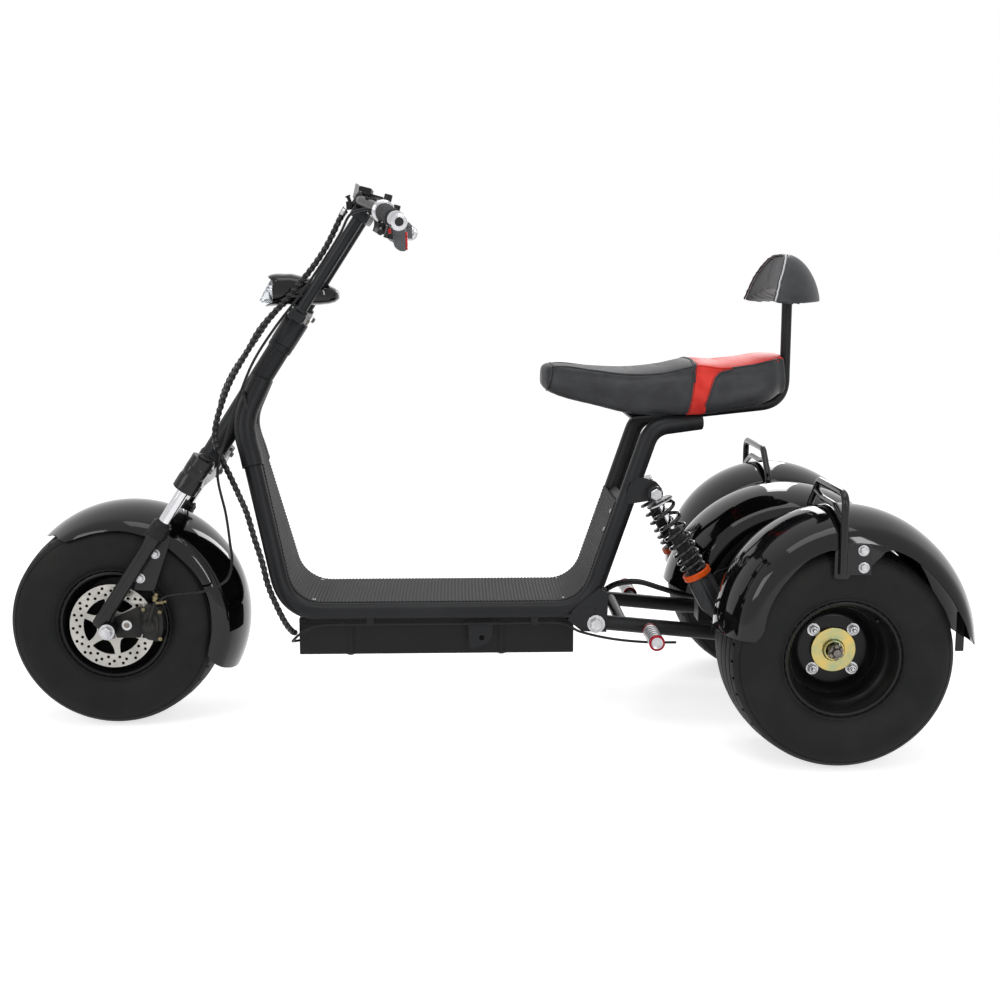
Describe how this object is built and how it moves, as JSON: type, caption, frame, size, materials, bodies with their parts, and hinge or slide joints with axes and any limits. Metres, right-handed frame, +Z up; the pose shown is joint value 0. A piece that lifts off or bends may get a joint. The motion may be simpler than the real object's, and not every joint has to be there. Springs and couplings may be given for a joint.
{
  "type": "three-wheeled electric scooter with fat tyres",
  "caption": "Electric trike scooter: raked fork, low step-through deck, long seat with backrest, paired rear shocks and fat tyres under domed fenders.",
  "frame": {"origin": "middle of the whole scooter's box, on the ground under its tyres", "axes": "+X to the rear along the scooter, +Y to the rider's right, +Z up"},
  "size_m": [1.9599, 0.904, 1.1492],
  "materials": {
    "frame_black": "satin black powder coat",
    "satin_black": "satin black paint",
    "motor_case": "dark cast aluminium",
    "mat_rubber": "matt rubber with raised lines",
    "battery_case": "black painted sheet",
    "cable_black": "black cable sleeve",
    "orange_ring": "anodised orange",
    "vinyl": "black grained vinyl with red panels",
    "gloss_black": "deep gloss black",
    "peg_alloy": "turned aluminium with red ends",
    "red_lens": "red lamp lens",
    "chrome": "polished chrome",
    "bar_alloy": "satin aluminium",
    "grip_rubber": "ribbed grey rubber",
    "dash_plastic": "black plastic",
    "clear_lens": "clear lens",
    "steel_bright": "brushed stainless steel",
    "tyre": "black tyre rubber",
    "zinc_yellow": "yellow zinc plate"
  },
  "bodies": {
    "frame": {"head_tube": "frame_black", "frame_tube_left": "frame_black", "frame_tube_right": "frame_black", "cross_members": "frame_black", "frame_brackets": "frame_black", "floor_mat": "mat_rubber", "battery_box": "battery_case", "battery_straps": "battery_case", "swing_arm": "frame_black", "rear_axle": "satin_black", "motor": "motor_case", "rear_brake": "satin_black", "shock_dampers": "satin_black", "shock_springs": "satin_black", "shock_collars": "orange_ring", "seat": "vinyl", "seat_base": "frame_black", "backrest_post": "frame_black", "backrest_pad": "vinyl", "rear_fender_left": "gloss_black", "rear_fender_right": "gloss_black", "rear_fender_centre": "gloss_black", "grab_hoop_left": "satin_black", "grab_hoop_right": "satin_black", "fender_stays": "frame_black", "footpegs": "peg_alloy", "tail_lamp": "red_lens", "rear_hoses": "cable_black", "wiring_harness": "cable_black", "front_brake_hose": "cable_black"},
    "steering": {"fork_crown": "satin_black", "fork_stanchions": "chrome", "fork_lowers": "satin_black", "riser_bars": "satin_black", "handlebar": "bar_alloy", "grips": "grip_rubber", "brake_levers": "satin_black", "dash": "dash_plastic", "headlamp": "gloss_black", "headlamp_lens": "clear_lens", "front_fender": "gloss_black", "front_fender_stays": "satin_black", "front_caliper": "satin_black", "front_axle": "steel_bright"},
    "front_wheel": {"front_tyre": "tyre", "front_rim": "satin_black", "brake_disc": "steel_bright"},
    "rear_wheel_left": {"rear_tyre_left": "tyre", "rear_rim_left": "satin_black", "rear_hub_left": "zinc_yellow"},
    "rear_wheel_right": {"rear_tyre_right": "tyre", "rear_rim_right": "satin_black", "rear_hub_right": "zinc_yellow"}
  },
  "joints": [
    {"name": "steering", "type": "hinge", "parent": "frame", "child": "steering", "pos_m": [-0.36119, 0, 0.86546], "axis": [0.5476, 0, 0.8368], "range_deg": [-35, 35], "deforming": ["wiring_harness", "front_brake_hose"]},
    {"name": "front_wheel_spin", "type": "hinge", "parent": "steering", "child": "front_wheel", "pos_m": [-0.754, 0, 0.225], "axis": [0, 1, 0], "continuous": true},
    {"name": "rear_wheel_left_spin", "type": "hinge", "parent": "frame", "child": "rear_wheel_left", "pos_m": [0.722, -0.32, 0.225], "axis": [0, 1, 0], "continuous": true},
    {"name": "rear_wheel_right_spin", "type": "hinge", "parent": "frame", "child": "rear_wheel_right", "pos_m": [0.722, 0.32, 0.225], "axis": [0, 1, 0], "continuous": true}
  ]
}
